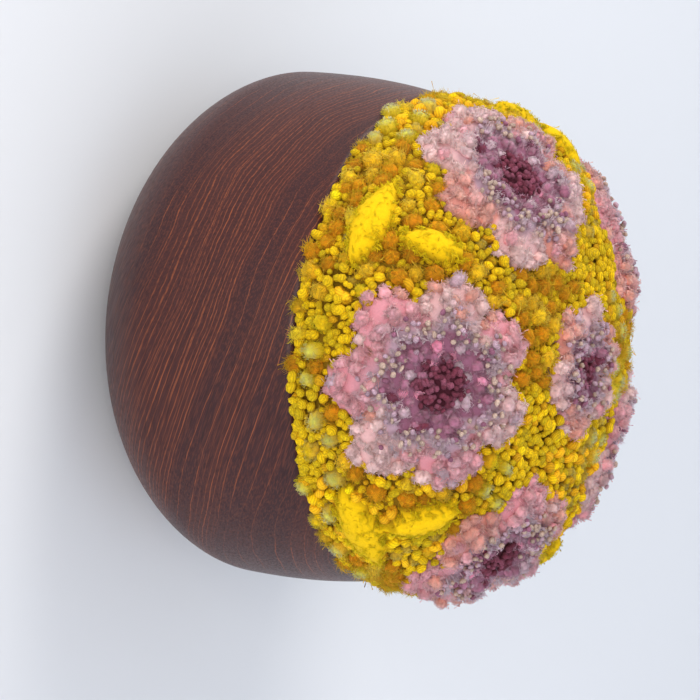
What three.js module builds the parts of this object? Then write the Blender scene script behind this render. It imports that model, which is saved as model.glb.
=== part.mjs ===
// Wall piece: a turned wooden bowl with its foot on the wall, its mouth filled by a crowned dome of
// punched and knotted yarn that stands a little proud of the rim.
// Millimetres, +Z up. The wall is the plane y = 0, and the piece reaches out from it towards -Y.

import * as THREE from "three";

// Bowl: radii from its axis, and heights from the foot
const BELLY_RADIUS = 85;
const BELLY_HEIGHT = 40;
const FOOT_RADIUS = 41;
const RIM_RADIUS = 80;
const RIM_HEIGHT = 91;
const LIP_THICKNESS = 6;
const WALL_THICKNESS = 9;
const FLOOR_THICKNESS = 13;
const LOWER_FULLNESS = 1.7; // power of the turned curve from the foot to the belly
const UPPER_FULLNESS = 2.3; // power of the turned curve from the belly to the rim
const BOWL_SEGMENTS = 60;
const OUTSIDE_STEPS = 9; // points on each outside curve
const INSIDE_STEPS = 4; // points on each inside curve
const LIP_STEPS = 6;

// Dome: the ground cloth's crown, and the pile that stands on it
const CLOTH_RADIUS = 77.5;
const CLOTH_RISE = 53.5;
const CLOTH_FULLNESS = 2.45;
const RIM_SAG = 0.8; // how far the worked cloth hangs down at the rim
const CROWN_SAG = 3; // how far it hangs down over the crown
const SAG_RISE = 16; // height over which the sag grows from the one to the other
const SEAT_GAP = 0.4; // between the dome and the rim that carries it
const MOUTH_EASE = 0.7; // between the dome's tucked edge and the inside of the mouth
const TUCK_DEPTH = 9; // how far the dome's edge goes down inside the mouth
const TUCK_TAPER = 1; // how much the tucked edge draws in
const WEB_RINGS = 30; // rings of points from the crown to the rim, six more points on each
const SECTORS = 6;
const CROWN_DIVISIONS = 800; // steps in which the crown's length is measured

// Pile heights above the cloth
const GROUND_PILE = 2.2;
const LUMP_PILE = 2.4;
const EDGE_PILE = 3.8;
const PETAL_PILE = 8.2;
const BUTTON_PILE = 5.4;
const LEAF_PILE = 6.8;
const EDGE_ROUNDING = 0.6; // share of the pile left on the last ring, where it turns in over the rim
const GROOVE_PILE = 0.55; // share of the pile left in the groove between two petals

// Pile shapes
const LUMP_COUNT = 210;
const LUMP_RADIUS = 7;
const EDGE_TUFTS = 42;
const EDGE_TUFT_RADIUS = 6.5;
const EDGE_TUFT_SHARE = 0.965; // place of the edge tufts, as a share of the way from crown to rim
const PETAL_NOTCH = 0.3; // depth of the notch between two petals, as a share of the flower's radius
const BUTTON_SHARE = 0.3; // radius of a flower's knotted button, as a share of the flower's radius
const PETAL_ROUNDNESS = 0.6; // power that rounds a petal's end
const PETAL_FOOT = 1.06; // where a petal's crown would meet the cloth, as a share of the flower's radius
const BUTTON_CROWN = 0.8; // how far a button's crown falls to its edge
const LEAF_CROWN = 0.85; // how far a leaf's crown falls to its sides
const LEAF_TIP = 0.7; // how far it falls to its tips
const GOLDEN_ANGLE = Math.PI * (3 - Math.sqrt(5));

// Ordinary round flowers.
// along: from the crown over the cloth, in mm; around: from +X towards +Z, in degrees.
const FLOWERS = [
  { along: 0, around: 0, radius: 21, petals: 6, turn: 10 },
  { along: 64, around: 176, radius: 31, petals: 7, turn: 0 },
  { along: 65, around: 248, radius: 28, petals: 6, turn: 24 },
  { along: 64, around: 320, radius: 30, petals: 7, turn: 16 },
  { along: 65, around: 32, radius: 28, petals: 6, turn: 8 },
  { along: 64, around: 104, radius: 30, petals: 7, turn: 30 },
];

// Pointed leaves between the flowers. heading: turned from the outward direction, in degrees.
const LEAVES = [
  { along: 92, around: 140, length: 30, width: 11, heading: 84 },
  { along: 92, around: 212, length: 32, width: 12, heading: 96 },
  { along: 92, around: 284, length: 30, width: 11, heading: 86 },
  { along: 92, around: 356, length: 30, width: 11, heading: 94 },
  { along: 92, around: 68, length: 30, width: 11, heading: 90 },
  { along: 74, around: 141, length: 20, width: 9, heading: 6 },
  { along: 74, around: 213, length: 22, width: 10, heading: -6 },
  { along: 74, around: 285, length: 20, width: 9, heading: 4 },
  { along: 74, around: 357, length: 20, width: 9, heading: -4 },
  { along: 74, around: 69, length: 20, width: 9, heading: 8 },
];

const WOOD = new THREE.MeshStandardMaterial({ color: 0x4f2e29, roughness: 0.45, metalness: 0 });
const YARN = new THREE.MeshStandardMaterial({ color: 0xd2b01c, roughness: 0.95, metalness: 0 });

// The swelling curve from the foot or floor to the belly: [radius, height] pairs of a superellipse.
function turnedQuarter(inner, outer, low, steps) {
  const points = [];
  for (let i = 0; i <= steps; i++) {
    const turn = (i / steps) * (Math.PI / 2);
    const reach = Math.sin(turn) ** (2 / LOWER_FULLNESS);
    const climb = 1 - Math.cos(turn) ** (2 / LOWER_FULLNESS);
    points.push([inner + (outer - inner) * reach, low + (BELLY_HEIGHT - low) * climb]);
  }
  return points;
}

// The inward curve from the belly to the lip, as [radius, height] pairs.
function drawnInCurve(bellyRadius, rimRadius, steps) {
  const shrink = (1 - (rimRadius / bellyRadius) ** UPPER_FULLNESS) ** (1 / UPPER_FULLNESS);
  const points = [];
  for (let i = 1; i <= steps; i++) {
    const share = i / steps;
    const radius = bellyRadius * (1 - (share * shrink) ** UPPER_FULLNESS) ** (1 / UPPER_FULLNESS);
    points.push([radius, BELLY_HEIGHT + share * (RIM_HEIGHT - LIP_THICKNESS / 2 - BELLY_HEIGHT)]);
  }
  return points;
}

// The rounded lip, from the outside over the top to the inside.
function lipCurve() {
  const points = [];
  const half = LIP_THICKNESS / 2;
  for (let i = 1; i < LIP_STEPS; i++) {
    const turn = (i / LIP_STEPS) * Math.PI;
    points.push([RIM_RADIUS - half + half * Math.cos(turn), RIM_HEIGHT - half + half * Math.sin(turn)]);
  }
  return points;
}

// One turned solid: flat foot, outside wall, lip, inside wall and floor.
function bowlGeometry() {
  const outside = [
    ...turnedQuarter(FOOT_RADIUS, BELLY_RADIUS, 0, OUTSIDE_STEPS),
    ...drawnInCurve(BELLY_RADIUS, RIM_RADIUS, OUTSIDE_STEPS),
  ];
  const insideBelly = BELLY_RADIUS - WALL_THICKNESS;
  const inside = [
    ...turnedQuarter(FOOT_RADIUS - WALL_THICKNESS, insideBelly, FLOOR_THICKNESS, INSIDE_STEPS),
    ...drawnInCurve(insideBelly, RIM_RADIUS - LIP_THICKNESS, INSIDE_STEPS),
  ].reverse();
  const profile = [[0, 0], ...outside, ...lipCurve(), ...inside, [0, FLOOR_THICKNESS]];
  return new THREE.LatheGeometry(
    profile.map(([radius, height]) => new THREE.Vector2(radius, height)),
    BOWL_SEGMENTS,
  );
}

// The cloth's crown from its top to the rim, measured from the rim's level.
class CrownCurve extends THREE.Curve {
  getPoint(share, target = new THREE.Vector3()) {
    const turn = (1 - share) * (Math.PI / 2);
    const power = 2 / CLOTH_FULLNESS;
    return target.set(CLOTH_RADIUS * Math.cos(turn) ** power, CLOTH_RISE * Math.sin(turn) ** power, 0);
  }
}

const crown = new CrownCurve();
crown.arcLengthDivisions = CROWN_DIVISIONS;
const CROWN_LENGTH = crown.getLength();

// How far the cloth hangs down at a height above the rim.
function sagAt(height) {
  return RIM_SAG + (CROWN_SAG - RIM_SAG) * Math.min(1, height / SAG_RISE);
}

// A place on the cloth: its point, the direction away from the crown, the direction around, and the normal.
function clothPlace(share, around) {
  const flat = crown.getPointAt(share);
  const slope = share === 0 ? new THREE.Vector3(1, 0, 0) : crown.getTangentAt(share);
  const turned = (v) => new THREE.Vector3(v.x * Math.cos(around), v.y, -v.x * Math.sin(around));
  const sag = new THREE.Vector3(0, 0, sagAt(flat.y)); // +Z here is turned down on the wall
  return {
    point: turned(flat).add(sag),
    outward: turned(slope),
    sideways: new THREE.Vector3(-Math.sin(around), 0, -Math.cos(around)),
    normal: turned(new THREE.Vector3(-slope.y, slope.x, 0)),
  };
}

function motifPlace({ along, around }) {
  return clothPlace(along / CROWN_LENGTH, THREE.MathUtils.degToRad(around));
}

// Where a point lies in a motif's own plane: its distance and its bearing from the motif's middle.
function bearingFrom(place, point) {
  const away = point.clone().sub(place.point);
  return { distance: away.length(), bearing: Math.atan2(away.dot(place.sideways), away.dot(place.outward)) };
}

const flowers = FLOWERS.map((flower) => ({ ...flower, place: motifPlace(flower) }));
const leaves = LEAVES.map((leaf) => ({ ...leaf, place: motifPlace(leaf) }));

// Tufts of the ground, spread evenly over the cloth by the golden angle, and a row of tufts at its edge.
function groundTufts() {
  const tufts = [];
  for (let i = 0; i < LUMP_COUNT; i++) {
    const share = EDGE_TUFT_SHARE * Math.sqrt((i + 0.5) / LUMP_COUNT);
    const { point } = clothPlace(share, i * GOLDEN_ANGLE);
    tufts.push({ point, radius: LUMP_RADIUS, pile: LUMP_PILE });
  }
  for (let i = 0; i < EDGE_TUFTS; i++) {
    const around = (i / EDGE_TUFTS) * 2 * Math.PI;
    const { point } = clothPlace(EDGE_TUFT_SHARE, around);
    tufts.push({ point, radius: EDGE_TUFT_RADIUS, pile: EDGE_PILE });
  }
  return tufts;
}
const tufts = groundTufts();

// Height of a round crown at a share of the way from its middle to its edge.
function crowned(share) {
  return Math.sqrt(Math.max(0, 1 - share * share));
}

function flowerPile(flower, point) {
  const { distance, bearing } = bearingFrom(flower.place, point);
  const turned = bearing - THREE.MathUtils.degToRad(flower.turn);
  const lobe = Math.abs(Math.cos((flower.petals * turned) / 2)) ** PETAL_ROUNDNESS;
  const edge = flower.radius * (1 - PETAL_NOTCH + PETAL_NOTCH * lobe);
  const share = distance / edge;
  if (share >= 1) return 0;
  const button = BUTTON_PILE * crowned((BUTTON_CROWN * share) / BUTTON_SHARE);
  const middle = (1 + BUTTON_SHARE) / 2;
  const swell = GROOVE_PILE + (1 - GROOVE_PILE) * lobe;
  const petal = PETAL_PILE * swell * crowned((share - middle) / (PETAL_FOOT - middle));
  return Math.max(button, petal);
}

function leafPile(leaf, point) {
  const { distance, bearing } = bearingFrom(leaf.place, point);
  const turned = bearing - THREE.MathUtils.degToRad(leaf.heading);
  const lengthwise = (2 * distance * Math.cos(turned)) / leaf.length;
  const halfWidth = (leaf.width / 2) * (1 - lengthwise * lengthwise);
  const across = Math.abs(distance * Math.sin(turned));
  if (Math.abs(lengthwise) >= 1 || across >= halfWidth) return 0;
  return LEAF_PILE * crowned((LEAF_CROWN * across) / halfWidth) * crowned(LEAF_TIP * lengthwise);
}

function groundPile(point) {
  let rise = 0;
  for (const tuft of tufts) {
    const share = point.distanceTo(tuft.point) / tuft.radius;
    if (share < 1) rise = Math.max(rise, tuft.pile * crowned(share));
  }
  return GROUND_PILE + rise;
}

// The pile over one point of the cloth: the highest of what is worked there.
function pileHeight(point) {
  const worked = [...flowers.map((f) => flowerPile(f, point)), ...leaves.map((l) => leafPile(l, point))];
  const motif = Math.max(...worked);
  return motif > 0 ? Math.max(GROUND_PILE, motif) : groundPile(point);
}

// The dome's points: rings of worked pile, then the edge that is tucked into the mouth, then the underside.
function domePoints() {
  const rings = [[]];
  const top = clothPlace(0, 0);
  rings[0].push(top.point.clone().addScaledVector(top.normal, pileHeight(top.point)));
  for (let k = 1; k <= WEB_RINGS; k++) {
    const ring = [];
    const kept = k < WEB_RINGS ? 1 : EDGE_ROUNDING;
    for (let i = 0; i < SECTORS * k; i++) {
      const { point, normal } = clothPlace(k / WEB_RINGS, (i / (SECTORS * k)) * 2 * Math.PI);
      ring.push(point.clone().addScaledVector(normal, kept * pileHeight(point)));
    }
    rings.push(ring);
  }
  const plugRadius = RIM_RADIUS - LIP_THICKNESS - MOUTH_EASE;
  for (const [radius, height] of [
    [plugRadius, 0],
    [plugRadius - TUCK_TAPER, -TUCK_DEPTH],
  ]) {
    const count = SECTORS * WEB_RINGS;
    rings.push(
      Array.from({ length: count }, (_, i) => {
        const around = (i / count) * 2 * Math.PI;
        return new THREE.Vector3(radius * Math.cos(around), height, -radius * Math.sin(around));
      }),
    );
  }
  rings.push([new THREE.Vector3(0, -TUCK_DEPTH, 0)]);
  return rings;
}

// Triangles of the band between two rings of points; the outer ring has as many points, or six more, or one.
function bandTriangles(inner, outer, innerStart, outerStart) {
  const triangles = [];
  const at = (ring, start, i) => start + (i % ring.length);
  if (inner.length === outer.length || outer.length === 1) {
    for (let i = 0; i < inner.length; i++) {
      const [a, b] = [at(inner, innerStart, i), at(inner, innerStart, i + 1)];
      const [c, d] = [at(outer, outerStart, i), at(outer, outerStart, i + 1)];
      triangles.push([a, c, b]);
      if (outer.length > 1) triangles.push([b, c, d]);
    }
    return triangles;
  }
  const steps = outer.length / SECTORS;
  for (let sector = 0; sector < SECTORS; sector++) {
    for (let j = 0; j < steps; j++) {
      const outerIndex = sector * steps + j;
      const innerIndex = sector * (steps - 1) + j;
      const [a, b] = [at(inner, innerStart, innerIndex), at(inner, innerStart, innerIndex + 1)];
      const [c, d] = [at(outer, outerStart, outerIndex), at(outer, outerStart, outerIndex + 1)];
      triangles.push([a, c, d]);
      if (j < steps - 1) triangles.push([a, d, b]);
    }
  }
  return triangles;
}

function domeGeometry() {
  const rings = domePoints();
  const positions = rings.flat().flatMap((p) => [p.x, p.y, p.z]);
  const triangles = [];
  let start = 0;
  for (let k = 1; k < rings.length; k++) {
    const next = start + rings[k - 1].length;
    triangles.push(...bandTriangles(rings[k - 1], rings[k], start, next));
    start = next;
  }
  const geometry = new THREE.BufferGeometry();
  geometry.setAttribute("position", new THREE.Float32BufferAttribute(positions, 3));
  geometry.setIndex(triangles.flat());
  geometry.computeVertexNormals();
  return geometry;
}

function namedMesh(name, geometry, material) {
  const mesh = new THREE.Mesh(geometry, material);
  mesh.name = name;
  return mesh;
}

// Both pieces are made about +Y with the foot at the origin, and turned so that the mouth faces -Y.
const wallPiece = new THREE.Group();
wallPiece.rotation.x = Math.PI;
wallPiece.add(namedMesh("bowl", bowlGeometry(), WOOD));
const dome = namedMesh("embroidered_dome", domeGeometry(), YARN);
dome.position.y = RIM_HEIGHT + SEAT_GAP;
wallPiece.add(dome);

const part = new THREE.Group();
part.add(wallPiece);

export default part;
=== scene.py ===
"""Punch needle wall piece: a turned wooden bowl on a wall, its mouth filled by a dome of worked yarn.

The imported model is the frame: wall at y = 0, the dome towards -Y, +Z up, in metres.
"""

import functools
import math
from collections import namedtuple

import bpy
import numpy as np
from bpy.props import FloatProperty, FloatVectorProperty, IntProperty, PointerProperty
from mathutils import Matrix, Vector


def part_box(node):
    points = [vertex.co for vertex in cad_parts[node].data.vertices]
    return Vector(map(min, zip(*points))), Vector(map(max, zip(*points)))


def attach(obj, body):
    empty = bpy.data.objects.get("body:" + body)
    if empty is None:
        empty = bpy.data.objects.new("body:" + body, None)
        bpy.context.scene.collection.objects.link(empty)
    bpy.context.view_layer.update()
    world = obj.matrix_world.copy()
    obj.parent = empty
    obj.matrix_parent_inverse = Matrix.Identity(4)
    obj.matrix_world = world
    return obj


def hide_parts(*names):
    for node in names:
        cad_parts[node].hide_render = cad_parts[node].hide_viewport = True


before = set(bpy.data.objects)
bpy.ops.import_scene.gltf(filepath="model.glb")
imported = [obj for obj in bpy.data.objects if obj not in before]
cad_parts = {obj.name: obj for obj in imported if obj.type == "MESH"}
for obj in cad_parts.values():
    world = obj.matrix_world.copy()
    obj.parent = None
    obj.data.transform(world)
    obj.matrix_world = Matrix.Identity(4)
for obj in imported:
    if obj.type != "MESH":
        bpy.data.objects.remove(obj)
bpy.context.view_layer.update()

bl_info = {
    "name": "Punch Needle Wall Piece",
    "version": (1, 0, 0),
    "blender": (4, 5, 0),
    "location": "View3D > Sidebar > Wall Piece",
    "description": "A turned wooden bowl, its mouth filled by a dome of knotted, looped and tufted yarn",
    "category": "Add Mesh",
}

MM = 0.001
BOWL_LOW, BOWL_HIGH = (Vector(corner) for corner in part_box("bowl"))
TINT = "yarn_tint"
WINDING = "winding"
QUARTER_TURN = (math.pi / 2, 0, 0)  # about X, from lying flat to facing the wall


# Motifs


Flower = namedtuple("Flower", "along around radius petals turn petal_yarns")
Leaf = namedtuple("Leaf", "along around length width heading")

# along is measured from the crown over the cloth and around from +X towards +Z, in millimetres and degrees.
FLOWERS = (
    Flower(0, 0, 21, 6, 10, ("salmon", "pale_pink")),
    Flower(64, 176, 31, 7, 0, ("pink", "pale_pink")),
    Flower(65, 248, 28, 6, 24, ("salmon", "pink")),
    Flower(64, 320, 30, 7, 16, ("pale_pink", "pink")),
    Flower(65, 32, 28, 6, 8, ("pink", "salmon")),
    Flower(64, 104, 30, 7, 30, ("pale_pink", "salmon")),
)
LEAVES = (
    Leaf(92, 140, 30, 11, 84),
    Leaf(92, 212, 32, 12, 96),
    Leaf(92, 284, 30, 11, 86),
    Leaf(92, 356, 30, 11, 94),
    Leaf(92, 68, 30, 11, 90),
    Leaf(74, 141, 20, 9, 6),
    Leaf(74, 213, 22, 10, -6),
    Leaf(74, 285, 20, 9, 4),
    Leaf(74, 357, 20, 9, -4),
    Leaf(74, 69, 20, 9, 8),
)

# Shapes of a flower and a leaf, as shares of their sizes
PETAL_NOTCH = 0.3
PETAL_ROUNDNESS = 0.6
PETAL_FOOT = 1.06
GROOVE_PILE = 0.55
BUTTON_SHARE = 0.3
PLUM_SHARE = 0.26
RING_SHARE = 0.52
SLUB_SHARE = 0.63
BUTTON_CROWN = 0.8
LEAF_CROWN = 0.85
LEAF_TIP = 0.7
LEAST_WIDTH = 1e-9  # of a leaf at its very tip, in metres


# Settings


def linear(red, green, blue):
    """An 8-bit sRGB colour as the linear values that shaders use."""
    shares = (red / 255, green / 255, blue / 255)
    return tuple(c / 12.92 if c <= 0.04045 else ((c + 0.055) / 1.055) ** 2.4 for c in shares)


def length(name, description, default):
    """A length property in metres."""
    return FloatProperty(name=name, description=description, default=default, unit="LENGTH", precision=4)


def number(name, description, default, unit="NONE"):
    """A number property, plain unless a unit is given."""
    return FloatProperty(name=name, description=description, default=default, unit=unit)


def angle(name, description, degrees):
    """An angle property, given in degrees."""
    return FloatProperty(name=name, description=description, default=math.radians(degrees), subtype="ANGLE")


def colour(name, description, *srgb):
    """A colour property, given as it looks on screen."""
    return FloatVectorProperty(
        name=name, description=description, default=linear(*srgb), subtype="COLOR", size=3, min=0, max=1
    )


class BowlSettings(bpy.types.PropertyGroup):
    belly_radius: length("Belly Radius", "Widest radius of the bowl", (BOWL_HIGH.x - BOWL_LOW.x) / 2)
    belly_height: length("Belly Height", "Distance of the belly from the wall", 40 * MM)
    foot_radius: length("Foot Radius", "Radius of the flat foot", 41 * MM)
    rim_radius: length("Rim Radius", "Outside radius of the lip", 80 * MM)
    rim_height: length("Rim Height", "Distance of the lip from the wall", BOWL_HIGH.y - BOWL_LOW.y)
    lip: length("Lip", "Thickness of the rounded lip", 6 * MM)
    wall: length("Wall", "Thickness of the side", 9 * MM)
    floor: length("Floor", "Thickness of the floor", 13 * MM)
    lower_fullness: number("Lower Fullness", "Power of the curve from foot to belly", 1.7)
    upper_fullness: number("Upper Fullness", "Power of the curve from belly to lip", 2.3)
    heartwood: colour("Heartwood", "Darkest wood", 47, 22, 27)
    body_wood: colour("Body Wood", "Wood between the grain lines", 59, 27, 28)
    warm_wood: colour("Warm Wood", "Redder wood where the lines lie close", 68, 30, 25)
    grain_line: colour("Grain Line", "Light lines of the grain", 150, 80, 46)


class DomeSettings(bpy.types.PropertyGroup):
    cloth_radius: length("Cloth Radius", "Radius of the ground cloth at the rim", 77.5 * MM)
    cloth_rise: length("Cloth Rise", "Height of the cloth's crown above the rim", 53.5 * MM)
    cloth_fullness: number("Cloth Fullness", "Power of the crown's curve", 2.45)
    rim_sag: length("Rim Sag", "How far the worked cloth hangs down at the rim", 0.8 * MM)
    crown_sag: length("Crown Sag", "How far it hangs down over the crown", 3.0 * MM)
    sag_rise: length("Sag Rise", "Height over which the sag grows", 16 * MM)
    seat_gap: length("Seat Gap", "Gap between the cloth and the lip", 0.4 * MM)
    tuck_depth: length("Tuck Depth", "How far the edge goes into the mouth", 9 * MM)
    mouth_ease: length("Mouth Ease", "Gap between the tucked edge and the mouth", 0.7 * MM)
    petal_pile: length("Petal Pile", "Height of the petals' cut pile", 8.2 * MM)
    button_pile: length("Button Pile", "Height of a flower's middle", 5.4 * MM)
    leaf_pile: length("Leaf Pile", "Height of the leaves' velvet", 6.8 * MM)
    seed: IntProperty(name="Seed", description="Start of the random draws", default=11)


class YarnColours(bpy.types.PropertyGroup):
    yellow: colour("Yellow", "Small knots of the ground", 234, 192, 8)
    chartreuse: colour("Chartreuse", "Greener knots of the ground", 208, 176, 12)
    mustard: colour("Mustard", "Browner knots of the ground", 214, 160, 12)
    olive: colour("Olive", "Velvet dots", 196, 160, 40)
    lemon: colour("Lemon", "Velvet leaves", 255, 208, 0)
    gold: colour("Gold", "Bulky loops", 250, 188, 24)
    lime: colour("Lime", "Middles of the pompoms", 200, 198, 84)
    ochre: colour("Ochre", "Long fluff", 208, 134, 6)
    salmon: colour("Salmon", "Petals", 242, 162, 148)
    pink: colour("Pink", "Petals", 245, 166, 178)
    pale_pink: colour("Pale Pink", "Petals", 252, 202, 202)
    lilac: colour("Lilac", "Petals", 212, 178, 196)
    rose: colour("Rose", "Stray tufts of the mauve rings", 236, 140, 172)
    cream: colour("Cream", "Slubbed knots round the mauve", 218, 190, 174)
    mauve: colour("Mauve", "Tufts round a flower's middle", 172, 112, 140)
    plum: colour("Plum", "Knots in a flower's middle", 116, 50, 70)
    wine: colour("Wine", "Lighter knots in a flower's middle", 140, 74, 96)
    # Ground is far darker than the yellow yarn it lies under: painted shade in the gaps between the knots
    ground: colour("Ground", "Cloth under the yellow stitches", 124, 94, 6)


class StageSettings(bpy.types.PropertyGroup):
    azimuth: angle("Azimuth", "Camera's turn round the piece", -57.8)
    elevation: angle("Elevation", "Camera's height above the horizon", 11.8)
    distance: length("Distance", "Camera's distance from the point it aims at", 738.6 * MM)
    focal: number("Focal Length", "Lens on a 36 mm sensor", 113.3, unit="CAMERA")
    aim_depth: length("Aim Depth", "Distance of the aimed point from the wall", 56.7 * MM)
    aim_right: length("Aim Right", "Shift of the aimed point across the picture", 4.0 * MM)
    aim_down: length("Aim Down", "Shift of the aimed point down the picture", 7.2 * MM)
    floor_drop: length("Floor Drop", "Distance of the floor below the piece", 0.45)
    wall_gap: length("Wall Gap", "Gap between the foot and the backdrop", 0.5 * MM)
    backdrop: colour("Backdrop", "Backdrop and floor", 225, 228, 234)
    key_power: number("Key Power", "Power of the large light", 14.5, unit="POWER")
    card_power: number("Card Power", "Power of the card that lifts the shadow", 11.0, unit="POWER")
    fill_strength: number("Fill Strength", "Strength of the light from all round", 0.76)


class WallPieceSettings(bpy.types.PropertyGroup):
    bowl: PointerProperty(type=BowlSettings)
    dome: PointerProperty(type=DomeSettings)
    yarn: PointerProperty(type=YarnColours)
    stage: PointerProperty(type=StageSettings)


def settings():
    return bpy.context.scene.wall_piece


def yarn_colour(name):
    return np.array(getattr(settings().yarn, name))


# Ground cloth and motifs


class Crown:
    """The cloth's crowned surface, measured along itself from the crown to the rim."""

    STEPS = 1200

    def __init__(self, dome, rim_height):
        turn = np.linspace(math.pi / 2, 0, self.STEPS)
        power = 2 / dome.cloth_fullness
        self.radius = dome.cloth_radius * np.cos(turn).clip(0) ** power
        self.height = dome.cloth_rise * np.sin(turn).clip(0) ** power
        steps = np.hypot(np.diff(self.radius), np.diff(self.height))
        self.along = np.concatenate([[0], np.cumsum(steps)])
        self.length = self.along[-1]
        self.base = rim_height + dome.seat_gap
        sagging = np.clip(self.height / dome.sag_rise, 0, 1)
        self.sag = dome.rim_sag + (dome.crown_sag - dome.rim_sag) * sagging
        out = np.gradient(self.radius, self.along)
        up = np.gradient(self.height, self.along)
        size = np.hypot(out, up)
        self.area = 2 * math.pi * (self.radius[1:] * steps).sum()
        self.slope_out = out / size
        self.slope_up = up / size

    def at(self, table, along):
        return np.interp(along, self.along, table)

    def places(self, along, around):
        """Points on the cloth with their normals and their directions outward and sideways."""
        along = np.asarray(along, float)
        cos, sin = np.cos(around), np.sin(around)
        radius, height = self.at(self.radius, along), self.at(self.height, along)
        out, up = self.at(self.slope_out, along), self.at(self.slope_up, along)
        sag = self.at(self.sag, along)
        point = np.stack([radius * cos, -self.base - height, radius * sin - sag], -1)
        normal = np.stack([-up * cos, -out, -up * sin], -1)
        outward = np.stack([out * cos, -up, out * sin], -1)
        sideways = np.stack([-sin, np.zeros_like(sin), cos], -1)
        return point, normal, outward, sideways

    def along_of(self, radius, height):
        """How far along the cloth a point lies that has this radius and height above the rim."""
        turn = np.arctan2(self.radius / self.radius[-1], self.height / self.height[0])
        return np.interp(np.arctan2(radius / self.radius[-1], height / self.height[0]), turn, self.along)

    def draw(self, rng, count):
        """Random places, even over the cloth's area."""
        area = np.concatenate([[0], np.cumsum(self.radius[1:] * np.diff(self.along))])
        along = np.interp(rng.random(count) * area[-1], area, self.along)
        return along, rng.random(count) * 2 * math.pi


@functools.cache
def crown():
    return Crown(settings().dome, settings().bowl.rim_height)


def crowned(share_of_radius):
    """Height of a round crown, from its middle to its edge."""
    return np.sqrt(np.clip(1 - share_of_radius**2, 0, None))


def bearing_from(motif, points):
    """Distance and bearing of points from a motif's middle, in its own plane."""
    along = np.array([motif.along * MM])
    middle, _, outward, sideways = crown().places(along, np.radians([motif.around]))
    away = points - middle[0]
    return np.linalg.norm(away, axis=1), np.arctan2(away @ sideways[0], away @ outward[0])


def in_flower(flower, points):
    """For each point: the share of the way to the flower's edge, the petal's swell there, and its petal."""
    distance, bearing = bearing_from(flower, points)
    turned = bearing - math.radians(flower.turn)
    lobe = np.abs(np.cos(flower.petals * turned / 2)) ** PETAL_ROUNDNESS
    edge = flower.radius * MM * (1 - PETAL_NOTCH + PETAL_NOTCH * lobe)
    petal = np.round(turned * flower.petals / (2 * math.pi)).astype(int) % flower.petals
    return distance / edge, lobe, petal


def flower_pile(reach, lobe):
    """Height of a flower's pile over the cloth."""
    dome = settings().dome
    button = dome.button_pile * crowned(BUTTON_CROWN * reach / BUTTON_SHARE)
    middle = (1 + BUTTON_SHARE) / 2
    swell = GROOVE_PILE + (1 - GROOVE_PILE) * lobe
    petal = dome.petal_pile * swell * crowned((reach - middle) / (PETAL_FOOT - middle))
    return np.maximum(button, petal)


def leaf_pile(leaf, points):
    """Height of a leaf's pile over the cloth, and 0 beside the leaf."""
    distance, bearing = bearing_from(leaf, points)
    turned = bearing - math.radians(leaf.heading)
    lengthwise = 2 * distance * np.cos(turned) / (leaf.length * MM)
    half_width = leaf.width * MM / 2 * (1 - lengthwise**2)
    across = np.abs(distance * np.sin(turned)) / np.maximum(half_width, LEAST_WIDTH)
    inside = (np.abs(lengthwise) < 1) & (across < 1)
    pile = settings().dome.leaf_pile * crowned(LEAF_CROWN * across) * crowned(LEAF_TIP * lengthwise)
    return np.where(inside, pile, 0)


Worked = namedtuple("Worked", "zone flower petal reach pile")
GROUND, LEAF_ZONE, PETAL_ZONE, SLUB_ZONE, RING_ZONE, BUTTON_ZONE = range(6)


def worked_at(points):
    """What is worked at each point of the cloth: its zone, flower, petal and height of pile."""
    count = len(points)
    zone = np.full(count, GROUND)
    flower_number = np.full(count, -1)
    petal_number = np.full(count, -1)
    reached = np.ones(count)
    pile = np.zeros(count)
    for leaf in LEAVES:
        height = leaf_pile(leaf, points)
        zone[height > 0] = LEAF_ZONE
        pile = np.maximum(pile, height)
    for number, flower in enumerate(FLOWERS):
        reach, lobe, petal = in_flower(flower, points)
        inside = reach < 1
        flower_number[inside] = number
        petal_number[inside] = petal[inside]
        reached[inside] = reach[inside]
        pile[inside] = flower_pile(reach, lobe)[inside]
        zone[inside] = PETAL_ZONE
        zone[inside & (reach < SLUB_SHARE)] = SLUB_ZONE
        zone[inside & (reach < RING_SHARE)] = RING_ZONE
        zone[reach < PLUM_SHARE] = BUTTON_ZONE
    return Worked(zone, flower_number, petal_number, reached, pile)


def seeded(step):
    """The random draws of one piece or group."""
    return np.random.default_rng(settings().dome.seed + step)


def between(rng, low, high, count):
    """Random numbers, even from low to high."""
    return low + (high - low) * rng.random(count)


def unit(vectors):
    return vectors / np.linalg.norm(vectors, axis=1)[:, None]


WAVES = 6
WAVE_RANGE = (0.7, 1.3)


def drift(points, wavelength, seed):
    """A slow random field over the piece, about -1 to 1, that gathers like stitches into patches."""
    rng = np.random.default_rng(seed)
    heading = unit(rng.normal(size=(WAVES, 3)))
    phase = rng.random(WAVES) * 2 * math.pi
    stretch = 2 * math.pi / wavelength * between(rng, *WAVE_RANGE, WAVES)
    return np.sin(points @ heading.T * stretch + phase).sum(1) / math.sqrt(WAVES)


# Stitch layout

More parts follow.
